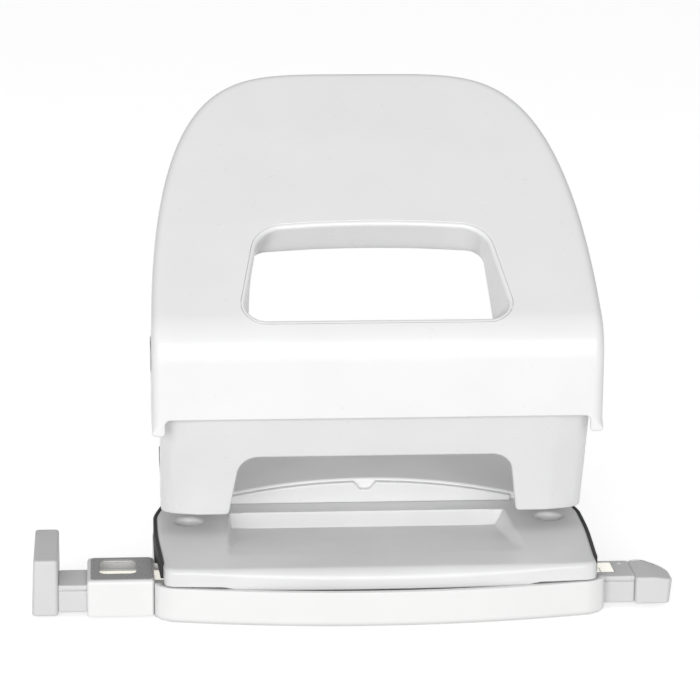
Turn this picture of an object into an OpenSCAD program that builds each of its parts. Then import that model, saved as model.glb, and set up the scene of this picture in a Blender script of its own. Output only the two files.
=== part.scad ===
// Two-hole desktop paper punch with a pull-out paper guide.
// Origin: on the ground, midway between the two punched holes.
// +X to the right, +Y to the back, +Z up. The paper goes in from the front (-Y).

/* [Punching] */
// Distance between the two punched holes
hole_spacing = 80; // [78:0.5:82]
// Diameter of a punched hole
hole_d = 5.5; // [5:0.5:6]
// Distance from the hole centres back to the paper stop
stop_depth = 12; // [11:0.5:12.5]
// Height of the paper slot
slot_h = 4.3; // [4.2:0.1:4.4]
// Radial clearance of each punch pin in its guide and die
pin_clearance = 0.05; // [0.02:0.01:0.08]

/* [Base] */
// Width of the chip tray
tray_w = 96; // [95.5:0.5:97]
// Height of the chip tray's rim
tray_h = 8; // [7.8:0.1:8]
// Wall thickness of the chip tray
tray_wall = 1.7; // [1.4:0.1:1.7]
// Distance from the holes to the tray's front corners
tray_front = 32.7; // [32.5:0.1:33.5]
// Distance from the holes to the tray's rear wall
tray_rear = 64; // [63:0.5:66]
// How far the tray's front bows out in the middle
tray_bow = 5.4; // [3:0.2:6]
// Width of the metal base plate
plate_w = 92; // [91:0.5:92]
// Height of the base plate's top face above the ground
plate_top = 12; // [12:0.1:12.2]
// Thickness of the base plate's sheet
plate_t = 1.6; // [1.2:0.1:1.7]

/* [Frame] */
// Outer width of the punch frame
frame_w = 92.4; // [92:0.1:92.6]
// Sheet thickness of the punch frame
frame_t = 2; // [1.8:0.1:2.2]
// Height of the frame's front wall above the ground
frame_h = 43; // [41:0.5:44]

/* [Lever] */
// Outer width of the lever hood at its skirt
lever_w = 96.4; // [96.2:0.1:96.8]
// Sheet thickness of the lever hood
lever_t = 1.2; // [1:0.1:1.2]
// Slope of the hood's top panel, in degrees from level
lever_slope = 36.5; // [36:0.1:37]
// Height of the hood's highest point above the ground
lever_top = 106.4; // [105:0.2:107]
// Length of finger hole along the slope
finger_len = 28.6; // [26:0.2:29]
// Half width of the finger hole at its lower edge
finger_half_w = 29.3; // [27:0.1:30]

/* [Guide] */
// Distance from the middle of the punch to the guide stop's inner face
guide_reach = 68.4; // [68.4:0.1:70]
// Height of the guide bar's top face
guide_top = 7.2; // [7:0.1:7.2]

/* [Hidden] */

$fn = 64;
eps = 0.01;
big = 200;

// Punching
pin_x = hole_spacing / 2;
pin_r = hole_d / 2;
bore_r = pin_r + pin_clearance;
slot_top = plate_top + slot_h;
web_t = 3;
upper_web_top = 38;
upper_web_t = 2.5;
pin_tip_z = slot_top + 0.3;
pin_notch = 1.4;
head_h = 2.6;
head_r = 3.6;

// Lever pivot and cams: the base circle's radius is the lever arm to the pins
pivot_y = -14;
pivot_z = 54;
pivot_r = 2.5;
pivot_run = 0.06;
pivot_head_r = 4.2;
pivot_head_t = 0.4;
pivot_inner_x = 43.4;
pivot_head_x = lever_w / 2 + 0.05;
cam_arm = -pivot_y;
press_angle = 30;
cam_drop = 1;
cam_gap = 0.15;
cam_t = 5;
cam_foot_t = 1.5;
cam_foot_in = 5.5;
cam_foot_out = 2.8;
cam_foot_low = -8;
cam_foot_high = 12;
cam_steps = 12;
head_top = pivot_z - cam_drop - cam_gap;

// Spring cups and springs
cup_t = 1;
cup_r = 3.9;
cup_top = head_top - head_h;
spring_r = 3.4;
wire_r = 0.4;
spring_turns = 4;
spring_steps = 18;
wire_sides = 6;
spring_low = upper_web_top + wire_r + 0.02;
spring_high = cup_top - cup_t - wire_r - 0.02;

// Base
corner_r = 3;
curve_steps = 24;
tray_floor = 1;
channel_front = 29.3;
channel_rear = 16.8;
rib_t = 1;
plate_front = 33;
plate_bow = 2;
plate_rear = tray_rear - 0.6;
flange_z = tray_h + 0.3;
foot_l = 24;
foot_w = 9;
foot_t = 0.8;
foot_x = 32;
foot_y = [-23, 48];

// Rear hinge of the tray
hinge_y = tray_rear + 2.6;
hinge_z = tray_h + 0.2;
hinge_r = 2.3;
hinge_pin_r = 1;
hinge_mid = 17.5;
hinge_gap = 0.4;
hinge_half = 30;

// Scoop that lets a finger lift the paper
scoop_half_w = 31;
scoop_front = 23.5;
scoop_rear = 5.7;
scoop_deep = 3.6;
scoop_wall = 1.2;

// Paper stop and rear deck share one arched outline
stop_t = 1.6;
stop_half_w = 33;
stop_top = 16.8;
arch = 0.0033;
notch_half_w = 2.4;
notch_deep = 2;
deck_lip = 0.5;
deck_half_w = 37.5;
deck_rear = 56;
deck_wall = 1.5;
deck_slope = 9;

// Punch frame
frame_foot_y = 9;
lean = 11;
cheek_rear = 36;
cheek_top_rear = 34;
boss_r = 5.4;
window_bottom_half_w = 31.5;
window_top_half_w = 28.5;
window_top = 31;
window_r = 4.5;
frame_foot_in = 38.4;
frame_foot_t = 2;
rivet_r = 2;
rivet_head_r = 3;
rivet_head_t = 1;
rivet_x = 41;
rivet_y = [20, 30];
frame_seat = 14;
guide_in = 33.5;
guide_front = -6.8;
guide_back = 8;
guide_wall = 2;

// Lever hood
skirt_y = 21.5;
skirt_z = 41.2;
ear_z = 37.7;
ear_half_w = 45.4;
bend_z = 53.5;
bend_r = 12;
flange_d = 10;
panel_z = 75.5;
ear_back = 4;
hood_low_z = 57.6;
hood_power_z = 2.3;
hood_power_x = 4.6;
finger_low = -23;
finger_top_half_w = 24.5;
finger_r = 7;
liner_t = 1.2;
liner_d = 7.5;
liner_fit = 0.05;
slope_x = cos(lever_slope);
slope_z = sin(lever_slope);
panel_end = (lever_top - 0.4 - panel_z) / slope_z;

// Paper guide
bar_front = 28;
bar_rear = 17.4;
bar_z = 1.2;
bar_end = 55;
cap_end = 63;
cap_r = 7;
cap_front = 29;
cap_rear = 17.1;
cap_top = guide_top + 0.2;
stop_w = 5.6;
stop_front = 28.2;
stop_rear = 6;
stop_low = 0.5;
stop_high = 12.8;
scale_t = 0.3;
scale_front = 25;
scale_rear = 18.6;
sleeve_left = 62.3;
sleeve_front = 29.1;
sleeve_rear = 13;
sleeve_low = 0.5;
sleeve_top = 8.4;
bore_gap = 0.15;
lens_left = 60;
lens_right = 51.5;
lens_front = 24.7;
lens_rear = 14.8;
lens_t = 0.8;
leaf_t = 0.3;
leaf_rise = 1;
leaf_low = 3;
leaf_high = 6;

// Points of an arc of radius r about [cx, cy], from angle a0 to a1
function arc(cx, cy, r, a0, a1, n = 8) =
    [for (i = [0 : n]) let (a = a0 + (a1 - a0) * i / n) [cx + r * cos(a), cy + r * sin(a)]];

// Plan outline with a bowed front edge and rounded corners
function bowed(half_w, front, rear, bow, r) =
    let (edge = half_w - r)
    concat(
        [for (i = [0 : curve_steps])
            let (x = edge * (2 * i / curve_steps - 1))
            [x, -front - bow * (1 - pow(x / half_w, 2))]],
        arc(edge, -front + r, r, -60, 0),
        arc(edge, rear - r, r, 0, 90),
        arc(-edge, rear - r, r, 90, 180),
        arc(-edge, -front + r, r, 180, 240));

// Height of the arched stop and deck at a distance x from the middle
function arched(top, x) = top - arch * x * x;

// Half width of the hood at a height, from a superellipse
function hood_half_w(u, half_w) = half_w * pow(1 - pow(u, hood_power_z), 1 / hood_power_x);

// Outline of the hood in front view, inset by d
function hood_outline(d) =
    let (half_w = lever_w / 2 - d, low = ear_z - 1, rise = lever_top - hood_low_z - d)
    concat(
        [[half_w, low]],
        [for (i = [0 : curve_steps])
            let (u = sin(90 * i / curve_steps))
            [hood_half_w(u, half_w), hood_low_z + rise * u]],
        [for (i = [curve_steps - 1 : -1 : 0])
            let (u = sin(90 * i / curve_steps))
            [-hood_half_w(u, half_w), hood_low_z + rise * u]],
        [[-half_w, low]]);

// A point of the sloping panel: s along the slope, d below its outer face
function panel_point(s, d) =
    [s * slope_x + d * slope_z, panel_z + s * slope_z - d * slope_x];

// Front of the hood in side view, inset by d: skirt, bend, then the sloping panel
function hood_front(d, low, end) =
    concat(
        [[-skirt_y + d, low]],
        arc(bend_r - skirt_y, bend_z, bend_r - d, 180, 90 + lever_slope),
        [panel_point(end, d)]);

// Contact point of a cam at press angle t, in the lever's own frame at rest
function cam_point(t) =
    let (drop = cam_drop + cam_arm * t * PI / 180)
    [pivot_y + cam_arm * cos(t) + drop * sin(t), pivot_z + cam_arm * sin(t) - drop * cos(t)];

// Rounded outline of the finger hole on the panel, inset by d
function finger_outline(d) =
    let (low = finger_low + d, high = finger_low + finger_len - d, r = finger_r - d,
        wl = finger_half_w - d, wh = finger_top_half_w - d)
    concat(
        arc(-wl + r, low + r, r, 190, 270),
        arc(wl - r, low + r, r, 270, 350),
        arc(wh - r, high - r, r, 10, 90),
        arc(-wh + r, high - r, r, 90, 170));

// Draws a side-view outline [y, z] as a plate from x0 to x1
module side_plate(x0, x1, outline) {
    translate([x0, 0, 0]) rotate([90, 0, 90]) linear_extrude(x1 - x0) polygon(outline);
}

// Draws a front-view outline [x, z] as a plate from y0 back to y1
module front_plate(y0, y1, outline) {
    translate([0, y1, 0]) rotate([90, 0, 0]) linear_extrude(y1 - y0) polygon(outline);
}

// A block between two opposite corners
module block(low, high) {
    translate(low) cube(high - low);
}

// A round bar along X
module x_bar(x0, x1, y, z, r) {
    translate([x0, y, z]) rotate([0, 90, 0]) cylinder(h = x1 - x0, r = r);
}

// Repeats its children on the right and, mirrored, on the left
module both_sides() {
    children();
    mirror([1, 0, 0]) children();
}

// Puts its children in the panel's own frame: y up the slope, z out of the face
module on_panel() {
    translate([0, 0, panel_z]) rotate([lever_slope, 0, 0]) children();
}

// ---- Chip tray, the part that stands on the table ----

module tray_shell() {
    half_w = tray_w / 2;
    difference() {
        linear_extrude(tray_h)
            polygon(bowed(half_w, tray_front, tray_rear, tray_bow, corner_r));
        translate([0, 0, tray_floor]) linear_extrude(tray_h)
            polygon(bowed(half_w - tray_wall, tray_front - tray_wall, tray_rear - tray_wall,
                tray_bow, corner_r - tray_wall));
    }
}

module tray_knuckles() {
    both_sides() {
        x_bar(hinge_mid + hinge_gap, hinge_half, hinge_y, hinge_z, hinge_r);
        block([hinge_mid + hinge_gap, tray_rear - eps, hinge_z - hinge_r - 2],
            [hinge_half, hinge_y, hinge_z - 0.6]);
    }
}

module chip_tray() {
    inner = tray_w / 2 - tray_wall + eps;
    color("white") difference() {
        union() {
            tray_shell();
            block([-inner, -channel_front - rib_t, eps], [inner, -channel_front, tray_h]);
            block([-inner, -channel_rear, eps], [inner, -channel_rear + rib_t, tray_h]);
            tray_knuckles();
        }
        block([-big, -channel_front, tray_floor], [big, -channel_rear, tray_h + 1]);
        x_bar(-big, big, hinge_y, hinge_z, hinge_pin_r);
        for (x = [-foot_x, foot_x], y = foot_y)
            block([x - foot_l / 2, y - foot_w / 2, -1], [x + foot_l / 2, y + foot_w / 2, foot_t]);
    }
}

module rubber_feet() {
    color("dimgray") for (x = [-foot_x, foot_x], y = foot_y)
        block([x - foot_l / 2, y - foot_w / 2, 0], [x + foot_l / 2, y + foot_w / 2, foot_t]);
}

module guide_sleeve() {
    color("white") difference() {
        block([-sleeve_left, -sleeve_front, sleeve_low],
            [-tray_w / 2, -sleeve_rear, sleeve_top]);
        block([-big, -bar_front - bore_gap, bar_z - bore_gap],
            [big, -bar_rear + bore_gap, guide_top + bore_gap]);
        block([-lens_left, -lens_front, guide_top], [-lens_right, -lens_rear, big]);
        block([-lens_left, -bar_rear - eps, leaf_low - bore_gap],
            [-lens_right, -lens_rear, leaf_high + bore_gap]);
    }
}

module format_window() {
    color("lightyellow", 0.6)
        block([-lens_left, -lens_front, guide_top + bore_gap + 0.05],
            [-lens_right, -lens_rear, guide_top + bore_gap + 0.05 + lens_t]);
}

module detent_spring() {
    half_l = (lens_left - lens_right) / 2;
    mid = -(lens_left + lens_right) / 2;
    near = -bar_rear + bore_gap + 0.1;
    steps = 10;
    bow = [for (i = [0 : steps])
        let (u = 2 * i / steps - 1) [mid + u * half_l, near + leaf_rise * u * u]];
    color("silver") translate([0, 0, leaf_low]) linear_extrude(leaf_high - leaf_low)
        polygon(concat(bow, [for (i = [steps : -1 : 0]) bow[i] + [0, leaf_t]]));
}

module tray_hinge_pin() {
    color("silver") x_bar(-hinge_half - 0.3, hinge_half + 0.3, hinge_y, hinge_z, hinge_pin_r);
}

// ---- Base plate and what is fixed to it ----

module plate_shell() {
    half_w = plate_w / 2;
    difference() {
        translate([0, 0, flange_z]) linear_extrude(plate_top - flange_z)
            polygon(bowed(half_w, plate_front, plate_rear, plate_bow, corner_r - 1));
        translate([0, 0, flange_z - 1]) linear_extrude(plate_top - plate_t - flange_z + 1)
            polygon(bowed(half_w - plate_t, plate_front - plate_t, plate_rear - plate_t,
                plate_bow, corner_r - plate_t));
    }
}

module scoop_pan() {
    side_plate(-scoop_half_w - scoop_wall, scoop_half_w + scoop_wall,
        [[-scoop_front, plate_top - eps], [-scoop_front, plate_top - plate_t],
         [scoop_rear, plate_top - scoop_deep - scoop_wall],
         [scoop_rear + scoop_wall, plate_top - scoop_deep - scoop_wall],
         [scoop_rear + scoop_wall, plate_top - eps]]);
}

module plate_knuckle() {
    x_bar(-hinge_mid, hinge_mid, hinge_y, hinge_z, hinge_r);
    block([-hinge_mid, plate_rear - 1, flange_z + 0.2], [hinge_mid, hinge_y, hinge_z + hinge_r - 0.3]);
}

module base_plate() {
    color("whitesmoke") difference() {
        union() {
            plate_shell();
            scoop_pan();
            plate_knuckle();
        }
        side_plate(-scoop_half_w, scoop_half_w,
            [[-scoop_front, plate_top], [scoop_rear, plate_top - scoop_deep],
             [scoop_rear, big], [-scoop_front, big]]);
        both_sides() {
            translate([pin_x, 0, 0]) cylinder(h = big, r = bore_r);
            for (y = rivet_y) translate([rivet_x, y, 0]) cylinder(h = big, r = rivet_r);
        }
        x_bar(-big, big, hinge_y, hinge_z, hinge_pin_r + 0.05);
    }
}

module arch_plate(y0, y1, half_w, top, low) {
    front_plate(y0, y1, concat([[-half_w, low]],
        [for (i = [0 : curve_steps])
            let (x = half_w * (2 * i / curve_steps - 1)) [x, arched(top, x)]],
        [[half_w, low]]));
}

module paper_stop() {
    color("white") difference() {
        arch_plate(stop_depth, stop_depth + stop_t, stop_half_w, stop_top, plate_top);
        front_plate(stop_depth - 1, stop_depth + stop_t / 2,
            [[-notch_half_w, stop_top + 1], [-notch_half_w / 2, stop_top - notch_deep],
             [notch_half_w / 2, stop_top - notch_deep], [notch_half_w, stop_top + 1]]);
    }
}

module rear_deck() {
    front = stop_depth + stop_t;
    top = stop_top + deck_lip;
    color("gainsboro") difference() {
        intersection() {
            arch_plate(front, deck_rear, deck_half_w, top, plate_top);
            side_plate(-big, big, [[front, plate_top], [front, top],
                [deck_rear - deck_slope, top], [deck_rear, plate_top + 1],
                [deck_rear, plate_top]]);
        }
        intersection() {
            arch_plate(front + deck_wall, deck_rear - deck_wall, deck_half_w - deck_wall,
                top - deck_wall, plate_top - 1);
            side_plate(-big, big, [[front, plate_top - 1], [front, top],
                [deck_rear - deck_slope - deck_wall, top],
                [deck_rear - deck_wall - 1, plate_top - 1]]);
        }
    }
}

// ---- Punch frame ----

module frame_cheek() {
    side_plate(frame_w / 2 - frame_t, frame_w / 2, concat(
        [[-frame_foot_y, slot_top]],
        [[-frame_foot_y - lean, frame_h]],
        arc(pivot_y, pivot_z, boss_r, 180, 60),
        [[cheek_rear - 6, cheek_top_rear], [cheek_rear, cheek_top_rear - 6],
         [cheek_rear, plate_top], [frame_seat, plate_top], [frame_seat, slot_top]]));
}

module frame_front() {
    half_w = frame_w / 2;
    difference() {
        side_plate(-half_w, half_w,
            [[-frame_foot_y, slot_top], [-frame_foot_y - lean, frame_h],
             [-frame_foot_y - lean + frame_t, frame_h], [-frame_foot_y + frame_t, slot_top]]);
        front_plate(-big, big, concat(
            [[-window_bottom_half_w, slot_top - eps], [window_bottom_half_w, slot_top - eps]],
            arc(window_top_half_w - window_r, window_top - window_r, window_r, 10, 90),
            arc(-window_top_half_w + window_r, window_top - window_r, window_r, 90, 170)));
    }
}

module frame_foot() {
    block([frame_foot_in, frame_seat, plate_top],
        [frame_w / 2, cheek_rear, plate_top + frame_foot_t]);
}

module punch_frame() {
    color("white") difference() {
        union() {
            frame_front();
            both_sides() {
                frame_cheek();
                frame_foot();
            }
        }
        x_bar(-big, big, pivot_y, pivot_z, pivot_r);
        both_sides() for (y = rivet_y)
            translate([rivet_x, y, plate_top - 1]) cylinder(h = frame_foot_t + 2, r = rivet_r);
    }
}

module frame_rivets() {
    low = plate_top - plate_t;
    high = plate_top + frame_foot_t;
    color("silver") both_sides() for (y = rivet_y) translate([rivet_x, y, 0]) {
        translate([0, 0, low - rivet_head_t]) cylinder(h = rivet_head_t, r = rivet_head_r - 0.6);
        translate([0, 0, low - eps]) cylinder(h = high - low + 2 * eps, r = rivet_r);
        translate([0, 0, high]) cylinder(h = rivet_head_t, r1 = rivet_head_r, r2 = rivet_r);
    }
}

module pin_guide() {
    outer = frame_w / 2 - frame_t;
    color("silver") difference() {
        union() {
            block([guide_in, guide_front, slot_top], [outer, guide_back, slot_top + web_t]);
            block([guide_in, guide_front, upper_web_top - upper_web_t],
                [outer, guide_back, upper_web_top]);
            block([guide_in, guide_back, slot_top],
                [outer, guide_back + guide_wall, upper_web_top]);
        }
        translate([pin_x, 0, 0]) cylinder(h = big, r = bore_r);
    }
}

module left_pin_guide() { mirror([1, 0, 0]) pin_guide(); }
module right_pin_guide() { pin_guide(); }

// A ring of points round the wire at turn fraction t of the coil
function wire_ring(t) =
    let (a = 360 * spring_turns * t, z = spring_low + (spring_high - spring_low) * t)
    [for (k = [0 : wire_sides - 1])
        let (b = 360 * k / wire_sides, r = spring_r + wire_r * cos(b))
        [r * cos(a), r * sin(a), z + wire_r * sin(b)]];

module coil_spring() {
    n = spring_turns * spring_steps;
    m = wire_sides;
    points = [for (i = [0 : n]) each wire_ring(i / n)];
    sides = [for (i = [0 : n - 1], k = [0 : m - 1])
        [i * m + k, i * m + (k + 1) % m, (i + 1) * m + (k + 1) % m, (i + 1) * m + k]];
    first = [for (k = [m - 1 : -1 : 0]) k];
    last = [for (k = [0 : m - 1]) n * m + k];
    color("silver") translate([pin_x, 0, 0])
        polyhedron(points, concat(sides, [first, last]));
}

module left_spring() { mirror([1, 0, 0]) coil_spring(); }
module right_spring() { coil_spring(); }

module pivot_pin() {
    color("silver") {
        x_bar(pivot_inner_x, pivot_head_x + eps, pivot_y, pivot_z, pivot_r);
        x_bar(pivot_head_x, pivot_head_x + pivot_head_t, pivot_y, pivot_z, pivot_head_r);
    }
}

module left_pivot_pin() { mirror([1, 0, 0]) pivot_pin(); }
module right_pivot_pin() { pivot_pin(); }

// ---- Lever ----

// The hood's outer form, or its hollow when d is the sheet thickness
module hood_solid(d, low) {
    end = panel_end - d;
    intersection() {
        side_plate(-big, big, concat(
            hood_front(d, low, end),
            [panel_point(end, d == 0 ? flange_d : 3 * flange_d),
             panel_point(-ear_back / slope_x, d == 0 ? flange_d : 3 * flange_d)],
            d == 0
                ? [[-ear_back, skirt_z + 4], [-ear_back - 4, ear_z], [-skirt_y, ear_z]]
                : [[flange_d, low]]));
        front_plate(-big, big, hood_outline(d));
    }
}

module lever_shell() {
    color("white") difference() {
        hood_solid(0, ear_z);
        hood_solid(lever_t, ear_z - 5);
        block([-ear_half_w, -big, 0], [ear_half_w, 0, skirt_z]);
        on_panel() translate([0, 0, -flange_d]) linear_extrude(2 * flange_d)
            polygon(finger_outline(0));
        x_bar(-big, big, pivot_y, pivot_z, pivot_r + pivot_run);
    }
}

module finger_liner() {
    color("white") on_panel() translate([0, 0, -liner_d]) difference() {
        linear_extrude(liner_d - lever_t / 4) polygon(finger_outline(liner_fit));
        translate([0, 0, -1]) linear_extrude(liner_d + 2)
            polygon(finger_outline(liner_fit + liner_t));
    }
}

module cam() {
    web = [for (i = [0 : cam_steps]) cam_point(press_angle * i / cam_steps)];
    foot = lever_t + 0.02;
    color("silver") {
        side_plate(pin_x - cam_t / 2, pin_x + cam_t / 2, concat(
            [[pivot_y + 10, pivot_z + 1]], web, [[pivot_y + 18.5, pivot_z + 3]],
            [panel_point(cam_foot_high - 2, foot + eps),
             panel_point(cam_foot_low + 2, foot + eps)]));
        side_plate(pin_x - cam_foot_in, pin_x + cam_foot_out,
            [panel_point(cam_foot_low, foot), panel_point(cam_foot_low, foot + cam_foot_t),
             panel_point(cam_foot_high, foot + cam_foot_t), panel_point(cam_foot_high, foot)]);
    }
}

module left_cam() { mirror([1, 0, 0]) cam(); }
module right_cam() { cam(); }

// ---- Punch pins ----

module punch_pin() {
    color("silver") translate([pin_x, 0, 0]) difference() {
        union() {
            translate([0, 0, pin_tip_z]) cylinder(h = head_top - pin_tip_z, r = pin_r);
            translate([0, 0, cup_top]) cylinder(h = head_h, r = head_r);
        }
        side_plate(-big, big,
            [[-pin_r, pin_tip_z - 1], [-pin_r, pin_tip_z], [0, pin_tip_z + pin_notch],
             [pin_r, pin_tip_z], [pin_r, pin_tip_z - 1]]);
    }
}

module left_punch_pin() { mirror([1, 0, 0]) punch_pin(); }
module right_punch_pin() { punch_pin(); }

module spring_cup() {
    color("silver") translate([pin_x, 0, cup_top - cup_t]) difference() {
        cylinder(h = cup_t, r = cup_r);
        translate([0, 0, -1]) cylinder(h = cup_t + 2, r = pin_r + pin_clearance);
    }
}

module left_spring_cup() { mirror([1, 0, 0]) spring_cup(); }
module right_spring_cup() { spring_cup(); }

// ---- Paper guide ----

module guide_bar() {
    color("lightgray") difference() {
        block([-guide_reach, -bar_front, bar_z], [bar_end, -bar_rear, guide_top]);
        block([-lens_left - 2, -scale_front, guide_top - scale_t],
            [bar_end - 4, -scale_rear, guide_top + 1]);
    }
}

module format_scale() {
    color("white") block([-lens_left - 2, -scale_front, guide_top - scale_t],
        [bar_end - 4, -scale_rear, guide_top]);
}

module guide_stop() {
    color("lightgray") block([-guide_reach - stop_w, -stop_front, stop_low],
        [-guide_reach, -stop_rear, stop_high]);
}

module guide_end_cap() {
    color("lightgray") translate([0, 0, bar_z]) linear_extrude(cap_top - bar_z)
        polygon(concat(
            [[bar_end, -cap_rear], [bar_end, -cap_front], [cap_end, -cap_front]],
            arc(cap_end - cap_r, -cap_rear - cap_r, cap_r, 0, 90)));
}

chip_tray();
rubber_feet();
guide_sleeve();
format_window();
detent_spring();
tray_hinge_pin();
base_plate();
rear_deck();
paper_stop();
punch_frame();
frame_rivets();
left_pin_guide();
right_pin_guide();
left_spring();
right_spring();
left_pivot_pin();
right_pivot_pin();
lever_shell();
finger_liner();
left_cam();
right_cam();
left_punch_pin();
left_spring_cup();
right_punch_pin();
right_spring_cup();
guide_bar();
format_scale();
guide_stop();
guide_end_cap();
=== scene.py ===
import math

import bmesh
import bpy
import numpy as np
from mathutils import Matrix, Vector
from mathutils.geometry import delaunay_2d_cdt


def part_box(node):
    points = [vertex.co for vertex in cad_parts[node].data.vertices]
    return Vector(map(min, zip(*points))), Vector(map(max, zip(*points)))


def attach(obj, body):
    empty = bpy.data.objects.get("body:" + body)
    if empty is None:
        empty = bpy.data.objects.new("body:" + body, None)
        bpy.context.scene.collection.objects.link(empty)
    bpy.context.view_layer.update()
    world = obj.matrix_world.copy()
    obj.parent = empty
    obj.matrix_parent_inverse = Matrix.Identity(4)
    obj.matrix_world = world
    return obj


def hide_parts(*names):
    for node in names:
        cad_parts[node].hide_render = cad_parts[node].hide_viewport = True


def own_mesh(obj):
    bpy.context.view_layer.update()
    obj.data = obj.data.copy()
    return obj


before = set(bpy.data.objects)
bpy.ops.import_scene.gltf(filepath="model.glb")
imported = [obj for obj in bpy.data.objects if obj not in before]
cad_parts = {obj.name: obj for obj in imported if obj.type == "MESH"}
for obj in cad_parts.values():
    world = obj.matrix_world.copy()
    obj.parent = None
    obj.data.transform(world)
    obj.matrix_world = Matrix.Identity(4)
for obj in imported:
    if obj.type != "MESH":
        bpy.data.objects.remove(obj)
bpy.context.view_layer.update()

# Sizes of the punch are in millimetres, and make_piece turns them into metres. Sizes in the
# materials, the lights and the camera are in metres.
MM = 0.001
TAU = 2 * math.pi


def box_mm(node):
    """Lowest and highest corners of a CAD node, in millimetres."""
    low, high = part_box(node)
    return Vector(low) / MM, Vector(high) / MM


# ---- Places read from the frame ----

tray_high = box_mm("chip_tray")[1]
plate_high = box_mm("base_plate")[1]
stop_low, stop_high = box_mm("paper_stop")
deck_low, deck_high = box_mm("rear_deck")
bracket_high = box_mm("punch_frame")[1]
hood_low, hood_high = box_mm("lever_shell")
sleeve_low, sleeve_high = box_mm("guide_sleeve")
lens_low, lens_high = box_mm("format_window")
bar_low, bar_high = box_mm("guide_bar")
scale_low, scale_high = box_mm("format_scale")
fence_low, fence_high = box_mm("guide_stop")
cap_low, cap_high = box_mm("guide_end_cap")
pin_low, pin_high = box_mm("right_punch_pin")
pivot_low, pivot_high = box_mm("right_pivot_pin")
axle_low, axle_high = box_mm("tray_hinge_pin")

pin_x = (pin_low.x + pin_high.x) / 2
pivot = (pivot_low + pivot_high) / 2
axle = (axle_low + axle_high) / 2


# ---- Outlines ----

def arc(cx, cy, r, a0, a1, n=8):
    """Points of an arc about (cx, cy), angles in degrees."""
    turns = [math.radians(a0 + (a1 - a0) * i / n) for i in range(n + 1)]
    return [(cx + r * math.cos(a), cy + r * math.sin(a)) for a in turns]


def rounded(corners, steps=7):
    """Outline through (x, y, r) corners, each rounded to radius r."""
    out = []
    for i, (x, y, r) in enumerate(corners):
        p = Vector((x, y))
        if r == 0:
            out.append((x, y))
            continue
        a = (Vector(corners[i - 1][:2]) - p).normalized()
        b = (Vector(corners[(i + 1) % len(corners)][:2]) - p).normalized()
        half = a.angle(b) / 2
        centre = p + (a + b).normalized() * (r / math.sin(half))
        start = p + a * (r / math.tan(half)) - centre
        end = p + b * (r / math.tan(half)) - centre
        a0 = math.atan2(start.y, start.x)
        sweep = (math.atan2(end.y, end.x) - a0 + math.pi) % TAU - math.pi
        out += [(centre.x + r * math.cos(a0 + sweep * k / steps),
                 centre.y + r * math.sin(a0 + sweep * k / steps)) for k in range(steps + 1)]
    return out


def divided(loop, step):
    """The same outline with no side longer than step."""
    out = []
    for a, b in zip(loop, loop[1:] + loop[:1]):
        n = max(1, math.ceil(math.dist(a, b) / step))
        out += [(a[0] + (b[0] - a[0]) * k / n, a[1] + (b[1] - a[1]) * k / n) for k in range(n)]
    return out


def rectangle(x0, y0, x1, y1, r):
    """A rectangle with its corners rounded to r."""
    return rounded([(x0, y0, r), (x1, y0, r), (x1, y1, r), (x0, y1, r)])


def circle_hole(cx, cy, r, n=48):
    """A hole's outline runs clockwise, so that the material is on its left."""
    return arc(cx, cy, r, 360, 360 / n, n - 1)


def lefts(loop):
    """For each point, the step to its left that moves both its sides by 1."""
    p = np.array(loop, float)
    ahead = np.roll(p, -1, axis=0) - p
    ahead /= np.linalg.norm(ahead, axis=1)[:, None]
    normal = np.stack([-ahead[:, 1], ahead[:, 0]], axis=1)
    before = np.roll(normal, 1, axis=0)
    dot = (normal * before).sum(axis=1)
    return (normal + before) / (1 + dot)[:, None]


def inside(points, loop):
    """Which points lie inside a closed outline."""
    a = np.array(loop, float)
    b = np.roll(a, -1, axis=0)
    px, py = points[:, :1], points[:, 1:]
    crosses = (a[:, 1] > py) != (b[:, 1] > py)
    rise = np.where(b[:, 1] == a[:, 1], 1e-12, b[:, 1] - a[:, 1])
    x_at = a[:, 0] + (py - a[:, 1]) * (b[:, 0] - a[:, 0]) / rise
    return (crosses & (px < x_at)).sum(axis=1) % 2 == 1


def far_from(points, loop, gap):
    """Which points are at least gap from the outline."""
    a = np.array(loop, float)
    side = np.roll(a, -1, axis=0) - a
    to = points[:, None, :] - a
    share = np.clip((to * side).sum(axis=2) / (side * side).sum(axis=1), 0, 1)
    away = to - share[:, :, None] * side
    return (np.linalg.norm(away, axis=2) > gap).all(axis=1)


# ---- Edge profiles: (inset, depth) from the top face round to the under face ----

ROLL = 6    # steps in a rolled edge
BACK = ROLL - 1    # points of a flange's inner fillet


def rolled(r):
    """A quarter round from the top face to the side."""
    q = math.pi / 2 / ROLL
    return [(r - r * math.sin(q * k), r - r * math.cos(q * k)) for k in range(ROLL + 1)]


def edge_rim(r, sheet):
    """A plain sheet edge with small rounded corners, with as many points as a flange."""
    under = [(0, sheet - r), (0.3 * r, sheet - 0.3 * r), (r, sheet)]
    return rolled(r) + under + [(r, sheet)] * (ROLL + 1)


def flange_rim(roll, depth, sheet, lip=0.25):
    """A rolled edge with a flange that runs down to depth and back up inside."""
    inner = max(roll - sheet, 0.3)
    foot = [(0, depth - lip), (0.3 * lip, depth - 0.3 * lip), (lip, depth), (sheet - lip, depth),
            (sheet, depth - lip)]
    q = math.pi / 2 / (BACK - 1)
    back = [(sheet + inner - inner * math.cos(q * k), sheet + inner - inner * math.sin(q * k))
            for k in range(BACK)]
    return rolled(roll) + foot + back


def slab_rim(r, height, foot=None):
    """A solid slab with rounded upper and lower edges."""
    foot = r if foot is None else foot
    q = math.pi / 2 / ROLL
    low = [(foot - foot * math.cos(q * k), height - foot + foot * math.sin(q * k))
           for k in range(ROLL + 1)]
    return rolled(r) + low


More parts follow.
